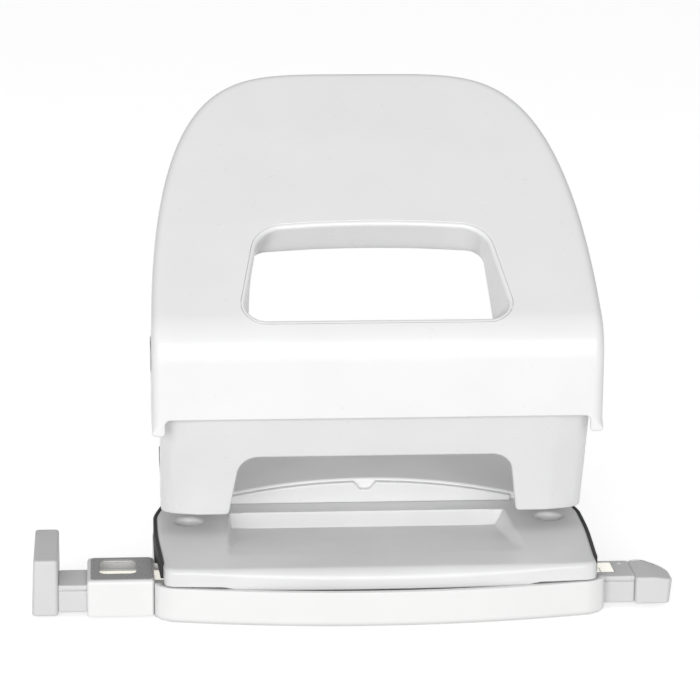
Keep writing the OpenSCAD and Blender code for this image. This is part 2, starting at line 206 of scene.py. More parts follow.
def mixed(rim_a, rim_b, share):
    """A rim between two others: the first at share 0, the second at share 1."""
    return [(a[0] + (b[0] - a[0]) * share, a[1] + (b[1] - a[1]) * share)
            for a, b in zip(rim_a, rim_b)]


def smooth(a, b, v):
    """0 below a, 1 above b, and a smooth rise between."""
    u = min(1, max(0, (v - a) / (b - a)))
    return u * u * (3 - 2 * u)


# ---- Mesh building ----

def make_piece(name, verts, faces, material, body, nodes, slot):
    """A smooth closed mesh piece that rides on a body and stands for the CAD nodes given."""
    mesh = bpy.data.meshes.new(name)
    mesh.from_pydata([Vector(v) * MM for v in verts], [], faces)
    bm = bmesh.new()
    bm.from_mesh(mesh)
    bmesh.ops.remove_doubles(bm, verts=bm.verts, dist=1e-7)
    bmesh.ops.dissolve_degenerate(bm, edges=bm.edges, dist=1e-7)
    bmesh.ops.recalc_face_normals(bm, faces=bm.faces)
    bm.to_mesh(mesh)
    bm.free()
    for polygon in mesh.polygons:
        polygon.use_smooth = True
    mesh.materials.append(material)
    piece = bpy.data.objects.new(name, mesh)
    bpy.context.collection.objects.link(piece)
    weighted = piece.modifiers.new("even_shading", "WEIGHTED_NORMAL")
    weighted.weight = 100
    weighted.keep_sharp = True
    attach(piece, body)
    for node in nodes:
        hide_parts(node)
    return piece


def sheet_mesh(loops, rims, place, rows, cols, gap=0.5):
    """A closed body from an outline and holes, with a rim profile on each and grid points inside.

    loops: the outline counterclockwise, then the holes clockwise. rims: for each loop, a function
    of a point's place that gives its profile. place: from (x, y, depth) to a point in space.
    """
    verts, faces, flat, edges, tops, unders = [], [], [], [], [], []
    for loop, rim in zip(loops, rims):
        n = len(loop)
        left = lefts(loop)
        profiles = [rim(*p) for p in loop]
        steps = len(profiles[0])
        first = len(verts)
        for k in range(steps):
            for i, (x, y) in enumerate(loop):
                inset, depth = profiles[i][k]
                verts.append(place(x + left[i][0] * inset, y + left[i][1] * inset, depth))
        for k in range(steps - 1):
            for i in range(n):
                j = (i + 1) % n
                a, b = first + k * n, first + (k + 1) * n
                faces.append((a + i, b + i, b + j, a + j))
        start = len(flat)
        flat += [(x + left[i][0] * profiles[i][0][0], y + left[i][1] * profiles[i][0][0])
                 for i, (x, y) in enumerate(loop)]
        edges += [(start + i, start + (i + 1) % n) for i in range(n)]
        tops += [first + i for i in range(n)]
        unders += [first + (steps - 1) * n + i for i in range(n)]
    sizes = np.cumsum([0] + [len(loop) for loop in loops])
    borders = [flat[a:b] for a, b in zip(sizes, sizes[1:])]
    grid = np.array([(x, y) for y in rows for x in cols], float).reshape(-1, 2)
    keep = inside(grid, borders[0]) & far_from(grid, borders[0], gap)
    for hole in borders[1:]:
        keep &= ~inside(grid, hole) & far_from(grid, hole, gap)
    sheet = rims[0](*loops[0][0])[-1][1]
    for x, y in grid[keep]:
        flat.append((float(x), float(y)))
        tops.append(len(verts))
        verts.append(place(x, y, 0))
        unders.append(len(verts))
        verts.append(place(x, y, sheet))
    points, _, triangles, origin, _, _ = delaunay_2d_cdt(
        [Vector(p) for p in flat], edges, [], 0, 1e-6)
    middle = np.array([sum((points[i] for i in t), Vector((0, 0))) / 3 for t in triangles])
    keep = inside(middle, borders[0])
    for hole in borders[1:]:
        keep &= ~inside(middle, hole)
    for triangle, kept in zip(triangles, keep):
        if kept:
            ids = [origin[i][0] for i in triangle]
            faces.append([tops[i] for i in ids])
            faces.append([unders[i] for i in reversed(ids)])
    return verts, faces


def ring_mesh(rings):
    """A closed ring from rings of points, the last joined back to the first."""
    n = len(rings[0])
    verts = [p for ring in rings for p in ring]
    faces = []
    for k in range(len(rings)):
        a, b = k * n, (k + 1) % len(rings) * n
        faces += [(a + i, a + (i + 1) % n, b + (i + 1) % n, b + i) for i in range(n)]
    return verts, faces


def lathe_mesh(profile, place, n=48):
    """A turned body from (radius, height) points; the ends close on the axis."""
    verts, faces = [], []
    for r, h in profile:
        verts += [place(r * math.cos(TAU * i / n), r * math.sin(TAU * i / n), h) for i in range(n)]
    for k in range(len(profile) - 1):
        for i in range(n):
            j = (i + 1) % n
            faces.append((k * n + i, k * n + j, (k + 1) * n + j, (k + 1) * n + i))
    faces.append(list(range(n)))
    faces.append([(len(profile) - 1) * n + i for i in range(n)])
    return verts, faces


def joined(*meshes):
    """Several closed meshes as one."""
    verts, faces = [], []
    for v, f in meshes:
        faces += [[i + len(verts) for i in face] for face in f]
        verts += list(v)
    return verts, faces


def mirrored(mesh):
    """The same mesh on the other side of x = 0."""
    verts, faces = mesh
    return [(-x, y, z) for x, y, z in verts], [list(reversed(f)) for f in faces]


def spaced(a, b, step):
    """Even values from a to b, at most step apart."""
    n = max(1, math.ceil((b - a) / step))
    return [a + (b - a) * k / n for k in range(n + 1)]


def slab(x0, y0, x1, y1, top, height, r, corner, foot=None, step=4):
    """A rounded block lying flat."""
    loop = divided(rectangle(x0, y0, x1, y1, corner), step)
    rim = slab_rim(r, height, foot)
    return sheet_mesh([loop], [lambda x, y: rim], lambda x, y, n: (x, y, top - n),
                      spaced(y0, y1, step), spaced(x0, x1, step))


# ---- Materials ----

def new_material(name, color, roughness, metallic=0.0):
    """A Principled material; returns it with its nodes, links and shader."""
    material = bpy.data.materials.new(name)
    material.use_nodes = True
    nodes = material.node_tree.nodes
    shader = nodes["Principled BSDF"]
    shader.inputs["Base Color"].default_value = (*color, 1)
    shader.inputs["Roughness"].default_value = roughness
    shader.inputs["Metallic"].default_value = metallic
    return material, nodes, material.node_tree.links, shader


def noise_at(nodes, links, scale, detail=3.0, stretch=(1, 1, 1)):
    """Noise over the object's own space; scale is in waves per metre."""
    coords = nodes.new("ShaderNodeTexCoord")
    mapping = nodes.new("ShaderNodeMapping")
    mapping.inputs["Scale"].default_value = stretch
    noise = nodes.new("ShaderNodeTexNoise")
    noise.inputs["Scale"].default_value = scale
    noise.inputs["Detail"].default_value = detail
    links.new(coords.outputs["Object"], mapping.inputs["Vector"])
    links.new(mapping.outputs["Vector"], noise.inputs["Vector"])
    return noise


def ramped(nodes, links, noise, low, high):
    """A colour or grey ramp over a noise."""
    ramp = nodes.new("ShaderNodeValToRGB")
    ramp.color_ramp.elements[0].position = 0.3
    ramp.color_ramp.elements[1].position = 0.7
    ramp.color_ramp.elements[0].color = (*low, 1)
    ramp.color_ramp.elements[1].color = (*high, 1)
    links.new(noise.outputs["Fac"], ramp.inputs["Fac"])
    return ramp


def add_bump(nodes, links, shader, noise, strength, distance):
    """Fine relief from a noise."""
    bump = nodes.new("ShaderNodeBump")
    bump.inputs["Strength"].default_value = strength
    bump.inputs["Distance"].default_value = distance
    links.new(noise.outputs["Fac"], bump.inputs["Height"])
    links.new(bump.outputs["Normal"], shader.inputs["Normal"])


def surfaced(name, color, roughness, spread, grain, bump, metallic=0.0, stretch=(1, 1, 1)):
    """A material with a slow colour drift, an uneven roughness and a fine surface grain."""
    material, nodes, links, shader = new_material(name, color, roughness, metallic)
    drift = noise_at(nodes, links, 60, 2.0)
    tone = ramped(nodes, links, drift, tuple(c * (1 - spread) for c in color), color)
    links.new(tone.outputs["Color"], shader.inputs["Base Color"])
    fine = noise_at(nodes, links, grain, 4.0, stretch)
    uneven = ramped(nodes, links, fine, (roughness * 0.85,) * 3, (roughness * 1.15,) * 3)
    links.new(uneven.outputs["Color"], shader.inputs["Roughness"])
    add_bump(nodes, links, shader, fine, bump, 0.0002)
    return material, shader


def paint_material():
    """Gloss white powder coat with a faint orange peel under a clear coat."""
    material, shader = surfaced("white_paint", (0.83, 0.83, 0.833), 0.32, 0.03, 700, 0.05)
    shader.inputs["Coat Weight"].default_value = 0.35
    shader.inputs["Coat Roughness"].default_value = 0.12
    return material


def shaded_plate_material():
    """The base plate's satin coat, greyer than the lever's paint: painted shade for its up-facing
    top, which gets less light than the front faces.
    """
    # The 0.76 grey is painted shade, not the coat's own colour.
    material, shader = surfaced("plate_paint_shaded", (0.76, 0.76, 0.765), 0.4, 0.06, 800, 0.06)
    shader.inputs["Coat Weight"].default_value = 0.2
    shader.inputs["Coat Roughness"].default_value = 0.2
    return material


def tray_material():
    """Moulded white plastic."""
    material, shader = surfaced("tray_plastic", (0.83, 0.83, 0.825), 0.36, 0.03, 1600, 0.08)
    shader.inputs["Specular IOR Level"].default_value = 0.45
    return material


def grey_material(name, value, roughness=0.45):
    """Moulded grey plastic with a fine spark-eroded grain."""
    return surfaced(name, (value, value, value), roughness, 0.06, 2200, 0.16)[0]


def steel_material(name, value, roughness, stretch):
    """Ground or plated steel with fine streaks."""
    return surfaced(name, (value, value, value * 1.02), roughness, 0.15, 900, 0.12, 1.0, stretch)[0]


def rubber_material():
    """Dull black rubber."""
    return surfaced("foot_rubber", (0.045, 0.045, 0.047), 0.75, 0.3, 1500, 0.4)[0]


def lens_material():
    """Clear plastic with a faint yellow tint, nearly all of it see-through."""
    material, nodes, links, shader = new_material("clear_lens", (0.97, 0.95, 0.86), 0.06)
    shader.inputs["Alpha"].default_value = 0.1
    shader.inputs["IOR"].default_value = 1.46
    add_bump(nodes, links, shader, noise_at(nodes, links, 500), 0.02, 0.0001)
    return material


def scale_material():
    """A printed strip: warm white, with a thin dark tick every 4 mm on its front half, and a faint
    glow that is painted light for the light the lens and the sleeve keep off it.
    """
    pitch, width = 0.004, 0.00045
    middle = (scale_low.y + scale_high.y) / 2 * MM
    material, nodes, links, shader = new_material("scale_print", (0.88, 0.86, 0.78), 0.5)
    # Emission: painted light, a faint glow standing in for light the lens and the sleeve keep off
    # the strip.
    shader.inputs["Emission Color"].default_value = (1.0, 0.98, 0.9, 1)
    shader.inputs["Emission Strength"].default_value = 0.5
    coords = nodes.new("ShaderNodeTexCoord")
    split = nodes.new("ShaderNodeSeparateXYZ")
    links.new(coords.outputs["Object"], split.inputs["Vector"])

    def math_node(operation, source, value):
        node = nodes.new("ShaderNodeMath")
        node.operation = operation
        links.new(source, node.inputs[0])
        node.inputs[1].default_value = value
        return node

    across = math_node("PINGPONG", split.outputs["X"], pitch / 2)
    line = math_node("LESS_THAN", across.outputs[0], width / 2)
    front = math_node("LESS_THAN", split.outputs["Y"], middle)
    tick = math_node("MULTIPLY", line.outputs[0], 1)
    links.new(front.outputs[0], tick.inputs[1])
    mix = nodes.new("ShaderNodeMix")
    mix.data_type = "RGBA"
    tone = ramped(nodes, links, noise_at(nodes, links, 300), (0.9, 0.88, 0.8), (0.95, 0.93, 0.86))
    links.new(tick.outputs[0], mix.inputs["Factor"])
    links.new(tone.outputs["Color"], mix.inputs["A"])
    mix.inputs["B"].default_value = (0.08, 0.08, 0.07, 1)
    links.new(mix.outputs["Result"], shader.inputs["Base Color"])
    return material


def floor_material():
    """A pale matt floor with a soft glow of its own."""
    material, shader = surfaced("studio_floor", (0.93, 0.93, 0.93), 0.7, 0.01, 40, 0.0)
    shader.inputs["Emission Color"].default_value = (1, 1, 1, 1)
    shader.inputs["Emission Strength"].default_value = 0.5
    return material


paint = paint_material()
plate_paint_shaded = shaded_plate_material()
tray_plastic = tray_material()
# The deck's near-white 0.93 is painted light: raised to make up for the shade the frame casts on
# it.
deck_plastic = grey_material("deck_plastic", 0.93, 0.42)
guide_plastic = grey_material("guide_plastic", 0.66)
# Dark grey for the sheet on the sleeve's top: painted shade, not the plastic's own colour.
sleeve_top_shade_grey = grey_material("sleeve_top_shade_grey", 0.3, 0.3)
zinc = steel_material("zinc_steel", 0.62, 0.34, (1, 1, 6))
ground_steel = steel_material("punch_steel", 0.5, 0.22, (1, 1, 12))
spring_steel = steel_material("spring_steel", 0.55, 0.28, (3, 3, 3))
rubber = rubber_material()
lens = lens_material()
print_and_glow = scale_material()


# ---- Lever hood ----

SKIRT_BEND = 53.5    # height where the upright skirt starts to bend
BEND_R = 12
SLOPE = math.radians(36.5)    # the panel's rise above the horizontal
TURN = math.pi / 2 - SLOPE
PANEL_Z = 75.5    # the panel's height at y = 0
HOOD_SHEET = 1.2
HOOD_ROLL = 2.2
CHEEK_DEPTH = 17.3    # side flanges beside the pivots
CHEEK_FALL = 8    # how much shallower they are higher up
ROUNDING = 2.3
EAR_X = 45.4    # inner side of the tabs at the skirt's ends
SKIRT_Z = 41.2    # the skirt's lower edge, between the tabs
hood_front_y = hood_low.y
bend_start = SKIRT_BEND - SKIRT_Z
bend_end = bend_start + BEND_R * TURN
bend_y = hood_front_y + BEND_R * (1 - math.cos(TURN))
panel_zero = bend_end - bend_y / math.cos(SLOPE)
HOOD_LOW_S = -30
panel_top = (hood_high.z - 0.3 - PANEL_Z) / math.sin(SLOPE)


def hood_place(x, t, n):
    """t runs up the hood's front from the skirt's lower edge, n goes in behind the sheet."""
    a = min(max((t - bend_start) / BEND_R, 0), TURN)
    y = hood_front_y + BEND_R * (1 - math.cos(a))
    z = SKIRT_BEND + BEND_R * math.sin(a) + min(t - bend_start, 0)
    past = max(t - bend_end, 0)
    y += past * math.sin(a)
    z += past * math.cos(a)
    straight = min(n, HOOD_ROLL + 0.3)
    g = TURN * smooth(4, 34, t)
    deep = n - straight
    return (x, y + straight * math.cos(a) + deep * math.cos(g),
            z - straight * math.sin(a) - deep * math.sin(g))


def hood_half_width(s):
    """Half the hood's width: straight sides that round off towards the top."""
    u = max(0, (s - HOOD_LOW_S) / (panel_top - HOOD_LOW_S))
    return hood_high.x * max(0, 1 - u ** ROUNDING) ** (1 / (2 * ROUNDING))


def hood_outline():
    """Side tabs at the skirt, straight sides, then a rounded top."""
    ear_t = hood_low.z - SKIRT_Z
    low_t = HOOD_LOW_S + panel_zero
    rise = panel_top - HOOD_LOW_S
    steps = 56
    right = [(hood_high.x, low_t, 0)]
    for k in range(1, steps):
        s = HOOD_LOW_S + rise * math.sin(math.pi / 2 * k / steps)
        right.append((hood_half_width(s), s + panel_zero, 0))
    left = [(-x, t, 0) for x, t, _ in reversed(right)]
    return divided(rounded(
        [(EAR_X, 0, 1.2), (EAR_X, ear_t, 0.7), (hood_high.x, ear_t, 0.9)]
        + right + [(0, panel_top + panel_zero, 0)] + left
        + [(-hood_high.x, ear_t, 0.9), (-EAR_X, ear_t, 0.7), (-EAR_X, 0, 1.2)]), 1.2)


def hood_rim(x, t):
    """Flanged on the sides and top, deeper beside the pivots; a plain edge along the skirt."""
    share = smooth(hood_low.z - SKIRT_Z + 0.6, -0.8, t) if abs(x) > EAR_X + 1 else 0
    if t > bend_end:
        share = 1
    depth = CHEEK_DEPTH - CHEEK_FALL * smooth(12, 32, t)
    return mixed(edge_rim(0.35, HOOD_SHEET), flange_rim(HOOD_ROLL, depth, HOOD_SHEET), share)


FINGER_LOW = -23.2
FINGER_HIGH = 5.4


def finger_loop(low_w, high_w, low, high, low_r, high_r, arch=1.3):
    """A rounded trapezoid with a gently arched top, clockwise."""
    top = [(x, high - arch * (x / high_w) ** 2, 0) for x in (-12, -8, -4, 0, 4, 8, 12)]
    loop = divided(rounded(
        [(low_w, low, low_r), (-low_w, low, low_r), (-high_w, high - arch, high_r)]
        + top + [(high_w, high - arch, high_r)], 10), 50)
    return [(x, s + panel_zero) for x, s in loop]


finger_front = finger_loop(30.2, 25.2, FINGER_LOW, FINGER_HIGH, 5.5, 7.5)
finger_back = finger_loop(27.6, 26.8, FINGER_LOW + 0.2, FINGER_HIGH - 0.3, 5, 5.2)


def build_hood():
    """The lever's sheet: skirt, bend and leaning panel, with the finger hole cut out."""
    rows = (spaced(-3, bend_start, 1.5) + spaced(bend_start, bend_end, 0.5)
            + spaced(bend_end, panel_top + panel_zero, 2.2))
    cols = spaced(-hood_high.x, hood_high.x, 2.0)
    mesh = sheet_mesh([hood_outline(), divided(finger_front, 1.2)],
                      [hood_rim, lambda x, t: edge_rim(0.2, HOOD_SHEET)],
                      hood_place, rows, cols, 0.45)
    make_piece("lever_hood", *mesh, paint, "lever", ["lever_shell"], "white_paint")


def build_finger_collar():
    """The hole's collar: rolled flush into the hood, then a deep wall that narrows to the back."""
    front = finger_front
    back = [(x - 0.9, t) for x, t in finger_back]
    left_front, left_back = lefts(front), lefts(back)
    deep, wall, roll = 7.6, 1.1, 0.9
    q = math.pi / 2 / ROLL
    profile = [(-0.06, 0.1)]
    profile += [(-0.1 - roll * math.sin(q * k), roll - roll * math.cos(q * k))
                for k in range(ROLL + 1)]
    profile += [(-roll - 0.1 - 0.04 * k, roll + 0.9 * k) for k in range(1, 7)]
    profile += [(-roll - 0.3, deep - 0.15), (-roll - 0.1, deep), (-roll + wall - 0.55, deep),
                (-roll + wall - 0.3, deep - 0.2), (-0.25, 4), (-0.06, 1.4)]
    rings = []
    for inset, depth in profile:
        k = smooth(0.5, deep + 1, depth)
        ring = []
        for i in range(len(front)):
            x = front[i][0] + left_front[i][0] * inset
            t = front[i][1] + left_front[i][1] * inset
            bx = back[i][0] + left_back[i][0] * inset
            bt = back[i][1] + left_back[i][1] * inset
            ring.append(hood_place(x + (bx - x) * k, t + (bt - t) * k, depth))
        rings.append(ring)
    make_piece("finger_collar", *ring_mesh(rings), paint, "lever", ["finger_liner"], "white_paint")


# ---- Punch frame ----

FRAME_SHEET = 2
FRAME_BEND = 3.2
FOLD_X = 38.2
FRAME_FOOT_Y = -9
FRAME_TOP_Y = -20
FRAME_TOP_Z = 43
LEG_Z = plate_high.z + 4.3
SEAT_Y = 14
BOSS_R = 5.4
FLARE = 5    # above the wall, the cheeks start this much further forward
FOLD_SLOPE = 0.24
TOE_IN = 1.4
LEG_INNER_X = 31.5
WINDOW_X = 29.2
WINDOW_Z = 31
WINDOW_R = 4.6


def frame_front_y(z):
    """The front wall leans forward as it rises."""
    return FRAME_FOOT_Y + (FRAME_TOP_Y - FRAME_FOOT_Y) * (z - LEG_Z) / (FRAME_TOP_Z - LEG_Z)


def frame_face_y(z):
    """The sheet's front: the leaning wall, and the cheeks' start above it."""
    return frame_front_y(min(z, FRAME_TOP_Z)) - FLARE * smooth(FRAME_TOP_Z, FRAME_TOP_Z + 4, z)


frame_flat = bracket_high.x - FRAME_BEND
frame_turn = FRAME_BEND * math.pi / 2


def frame_place(u, z, n):
    """u runs along the bent sheet from the middle of its front wall, n goes inwards."""
    side = -1 if u < 0 else 1
    past = abs(u) - frame_flat
    a = min(max(past / FRAME_BEND, 0), math.pi / 2)
    x = min(abs(u), frame_flat) + (FRAME_BEND - n) * math.sin(a)
    y = frame_face_y(z) + FRAME_BEND - (FRAME_BEND - n) * math.cos(a) + max(past - frame_turn, 0)
    y += FOLD_SLOPE * max(abs(u) - FOLD_X, 0) * (1 - smooth(frame_flat, frame_flat + 12, abs(u)))
    return (side * (x - TOE_IN * smooth(5, SEAT_Y + 3, y)), y, z)


def cheek_u(y, z):
    """Where a cheek's point lies along the bent sheet."""
    return frame_flat + frame_turn + y - frame_face_y(z) - FRAME_BEND


def frame_outline():
    """The unfolded sheet: cheeks with boss and foot, two legs and the window."""
    foot_z = plate_high.z + 0.05
    rear = bracket_high.y
    boss = [(pivot.y + BOSS_R * math.cos(a), pivot.z + BOSS_R * math.sin(a))
            for a in [math.radians(60 + 120 * k / 14) for k in range(15)]]
    front_u = cheek_u(pivot.y - BOSS_R, pivot.z)
    back_z, slant_z, slant = 28, 34, 6    # the cheek's rear edge and the slant above it
    cheek = [(SEAT_Y, LEG_Z, 1.2), (SEAT_Y, foot_z, 0.6), (rear, foot_z, 0.8),
             (rear, back_z, 4), (rear - slant, slant_z, 6)]
    right = [(LEG_INNER_X, LEG_Z, 1.0)] + [(cheek_u(y, z), z, r) for y, z, r in cheek]
    right += [(cheek_u(y, z), z, 0) for y, z in boss]
    right += [(front_u, FRAME_TOP_Z, 0.6), (front_u - 3, FRAME_TOP_Z, 0)]
    left = [(-u, z, r) for u, z, r in reversed(right)]
    window = [(x, WINDOW_Z, WINDOW_R) for x in (-WINDOW_X, WINDOW_X)]
    return divided(rounded(right + left + window, 8), 1.5)


def build_frame():
    """The bent bracket with its two riveted feet."""
    rim = edge_rim(0.4, FRAME_SHEET)
    reach = cheek_u(bracket_high.y, LEG_Z)
    cols = (spaced(-reach, -frame_flat - frame_turn, 3)
            + spaced(-frame_flat - frame_turn, -frame_flat, 0.6)
            + spaced(-frame_flat, -FOLD_X, 1.2) + spaced(-FOLD_X, FOLD_X, 3)
            + spaced(FOLD_X, frame_flat, 1.2) + spaced(frame_flat, frame_flat + frame_turn, 0.6)
            + spaced(frame_flat + frame_turn, reach, 3))
    mesh = sheet_mesh([frame_outline()], [lambda u, z: rim], frame_place,
                      spaced(plate_high.z, bracket_high.z, 1.5), cols, 0.4)
    foot = slab(38.4, SEAT_Y, bracket_high.x - FRAME_SHEET - 1.2, bracket_high.y,
                plate_high.z + 2, 1.98, 0.3, 1.2)
    make_piece("frame_bracket", *joined(mesh, foot, mirrored(foot)), paint, "base",
               ["punch_frame"], "white_paint")


def rivet_head(x, y, z, r, rise):
    """A low domed head."""
    profile = [(r, 0), (r, 0.25 * rise), (r * 0.93, 0.55 * rise), (r * 0.75, 0.82 * rise),
               (r * 0.45, 0.96 * rise), (r * 0.15, rise)]
    return lathe_mesh(profile, lambda a, b, h: (x + a, y + b, z + h), 40)


def build_rivets():
    """Four rivets through the frame's feet, with domed heads and turned-over tails."""
    low, high = box_mm("frame_rivets")
    parts = []
    for y in (low.y + 3, high.y - 3):
        for x in (-high.x + 3, high.x - 3):
            parts.append(rivet_head(x, y, high.z - 1, 2.9, 1))
            shank = [(2, high.z - 0.98), (2, low.z + 1)]
            parts.append(lathe_mesh(shank, lambda a, b, h, x=x, y=y: (x + a, y + b, h), 32))
            tail = [(2.4, 1), (2.4, 0.5), (2.0, 0.15), (1.2, 0)]
            parts.append(lathe_mesh(tail, lambda a, b, h, x=x, y=y: (x + a, y + b, low.z + h), 32))
    make_piece("foot_rivets", *joined(*parts), zinc, "base", ["frame_rivets"], "zinc_steel")


def build_pivots():
    """Pivot pins with low round heads outside the hood's cheeks."""
    shank_r = 2.5
    head = pivot_high.x - hood_high.x
    profile = [(shank_r - 0.3, pivot_low.x), (shank_r, pivot_low.x + 0.3),
               (shank_r, hood_high.x + 0.05), (3.9, hood_high.x + 0.05),
               (3.9, hood_high.x + head * 0.3), (3.6, hood_high.x + head * 0.42),
               (1.2, hood_high.x + head * 0.45), (0.9, hood_high.x + head * 0.3)]
    for name, side in (("left", -1), ("right", 1)):
        mesh = lathe_mesh(profile, lambda a, b, h, s=side: (s * h, pivot.y + a, pivot.z + b))
        make_piece(name + "_pivot", *mesh, zinc, "base", [name + "_pivot_pin"], "zinc_steel")


# ---- Base plate, paper stop, rear deck ----

PLATE_SHEET = 1.2
PLATE_STRAIGHT = 32.5
PLATE_FRONT = 33
PLATE_REAR = 63.4
PLATE_BOW = 2
PLATE_SWELL = 1.2
PLATE_DRAWN = 2.3
DIE_R = 2.8
TRAY_RIM_Z = 8
FLANGE_Z = TRAY_RIM_Z + 0.2
LIP_Z = TRAY_RIM_Z - 0.45
SCOOP_W = 31
SCOOP_FRONT = -23.5
SCOOP_REAR = 5.7
SCOOP_DEEP = 3.6
ARCH = 0.0033    # the stop's and the deck's tops fall by this times x squared


def edge_x(x, y, swell, drawn):
    """The sides swell towards the holes and are drawn in behind them."""
    out = swell * smooth(-34, -4, y) * smooth(42.9, 46, abs(x))
    back = drawn * smooth(3, 17, y) * smooth(30, 46, abs(x))
    return x + (out - back if x > 0 else back - out)


def bow_y(x, half_w, front, bow):
    """A front edge that bows out towards the middle."""
    return -front - bow * (1 - (x / half_w) ** 2)


def bowed_outline(half_w, front, rear, bow, r, step):
    """A plan outline with a bowed front edge and rounded corners."""
    edge = half_w - r
    loop = [(x, bow_y(x, half_w, front, bow)) for x in spaced(-edge, edge, 3)]
    loop += arc(edge, -front + r, r, -62, 0) + arc(edge, rear - r, r, 0, 90)
    loop += arc(-edge, rear - r, r, 90, 180) + arc(-edge, -front + r, r, 180, 242)
    return divided(loop, step)


def scoop_depth(x, y):
    """The finger scoop ramps down to a straight rear wall, with a softer right side."""
    ramp = (y - SCOOP_FRONT) / (SCOOP_REAR - SCOOP_FRONT)
    if ramp <= 0:
        return 0
    half = SCOOP_W + 1.4 * (SCOOP_REAR - y) / (SCOOP_REAR - SCOOP_FRONT)
    wall = 0.7 if x < 0 else 2.6
    across = smooth(0, wall, half - abs(x))
    bead = 0.3 * math.exp(-((half - abs(x)) / 0.4) ** 2) * ramp if x < 0 and y < SCOOP_REAR else 0
    return SCOOP_DEEP * min(ramp, 1) * across * smooth(0, 0.5, SCOOP_REAR - y) - bead


def plate_place(x, y, n):
    """The plate's shaped sides and its finger scoop."""
    return (edge_x(x, y, PLATE_SWELL, PLATE_DRAWN), y, plate_high.z - n - scoop_depth(x, y))


def plate_rim(x, y):
    """A front lip that rounds over into the tray, and tighter sides that stay above its rim."""
    roll, foot = 1.1, FLANGE_Z
    if y < -PLATE_STRAIGHT:
        roll = max(-PLATE_STRAIGHT - y, roll)
        foot += (LIP_Z - FLANGE_Z) * smooth(34, 30, abs(x))
    return flange_rim(roll, plate_high.z - foot, PLATE_SHEET)


def build_plate():
    """The base plate with its scoop, two drawn die holes and the middle hinge knuckle."""
    outline = bowed_outline(plate_high.x, PLATE_FRONT, PLATE_REAR, PLATE_BOW, 2, 1.5)
    dies = [circle_hole(x, 0, DIE_R) for x in (-pin_x, pin_x)]
    rows = (spaced(-36, SCOOP_FRONT, 1.5) + spaced(SCOOP_FRONT, 4.9, 1.2) + spaced(5.0, 6.0, 0.1)
            + spaced(6.6, plate_high.y, 2.5))
    fine = spaced(SCOOP_W - 2.8, SCOOP_W + 1.8, 0.3)
    cols = (spaced(-plate_high.x, -SCOOP_W - 2, 2) + [-x for x in reversed(fine)]
            + spaced(-SCOOP_W + 3, SCOOP_W - 3, 2.5) + fine + spaced(SCOOP_W + 2, plate_high.x, 2))
    roll, collar, wall = 0.9, 3.4, 0.6
    die_rim = flange_rim(roll, collar, wall)[:-BACK] + [(roll, PLATE_SHEET)] * BACK
    mesh = sheet_mesh([outline] + dies, [plate_rim] + [lambda x, y: die_rim] * 2, plate_place,
                      rows, cols, 0.35)
    make_piece("base_top", *joined(mesh, hinge_knuckle(-17.5, 17.5, 1)), plate_paint_shaded, "base",
               ["base_plate"], "white_paint")


def hinge_knuckle(x0, x1, side):
    """A rolled hinge barrel with its leaf, on the plate (side 1) or on the tray (side -1)."""
    r, bore, n = 2.25, 1.05, 40
    rings = []
    for x, radius in ((x0, bore), (x0, r - 0.25), (x0 + 0.25, r), (x1 - 0.25, r),
                      (x1, r - 0.25), (x1, bore)):
        rings.append([(x, axle.y + radius * math.cos(TAU * i / n),
                       axle.z + radius * math.sin(TAU * i / n)) for i in range(n)])
    barrel = ring_mesh(rings)
    if side > 0:
        leaf = slab(x0, 62.2, x1, axle.y - 0.9, axle.z + r - 0.25, 1.3, 0.25, 0.3)
    else:
        leaf = slab(x0, 63.6, x1, axle.y - 0.9, axle.z - 0.7, 2.6, 0.3, 0.4)
    return joined(barrel, leaf)


def arched(top, x):
    """The height of an arched top edge."""
    return top - ARCH * x * x


def build_stop():
    """The arched paper stop with a small centre notch."""
    half, thick = 33, 1.6
    top = [(x, arched(stop_high.z, x), 0) for x in spaced(4, half, 3)]
    notch = [(2.5, stop_high.z, 0.4), (1.0, stop_high.z - 1.7, 0.5),
             (-1.0, stop_high.z - 1.7, 0.5), (-2.5, stop_high.z, 0.4)]
    loop = rounded([(-half, plate_high.z + 0.02, 0), (half, plate_high.z + 0.02, 0)]
                   + list(reversed(top)) + notch + [(-x, z, r) for x, z, r in top])
    rim = edge_rim(0.35, thick)
    mesh = sheet_mesh([divided(loop, 1.2)], [lambda x, z: rim],
                      lambda x, z, n: (x, stop_low.y + n, z),
                      spaced(plate_high.z, stop_high.z, 1), spaced(-half, half, 2.5), 0.4)
    make_piece("stop_plate", *mesh, paint, "base", ["paper_stop"], "white_paint")


def build_deck():
    """The crowned cover behind the stop, with a rolled lip all round."""
    top = deck_high.z
    loop = divided(rounded([(deck_low.x, deck_low.y, 1.0), (deck_high.x, deck_low.y, 1.0),
                            (deck_high.x, deck_high.y, 6), (deck_low.x, deck_high.y, 6)]), 1.5)

    def place(x, y, n):
        fall = (top - plate_high.z - 1.2) * smooth(deck_high.y - 13, deck_high.y + 3, y)
        high = max(arched(top, x) - fall, plate_high.z + 0.7)
        return (x, y, max(high - n, plate_high.z + 0.01))

    rim = slab_rim(0.6, 6, 0.05)
    mesh = sheet_mesh([loop], [lambda x, y: rim], place,
                      spaced(deck_low.y, deck_high.y, 2), spaced(deck_low.x, deck_high.x, 2))
    make_piece("deck_cover", *mesh, deck_plastic, "base", ["rear_deck"], "deck_plastic")


# ---- Chip tray ----

CHANNEL = (-29.3, -16.8)
TRAY_BASE_Z = 0.25
TRAY_FLOOR = 0.75
TRAY_FRONT = 32.7
TRAY_REAR = 64
TRAY_BOW = 5.4
TRAY_DRAWN = 2.8


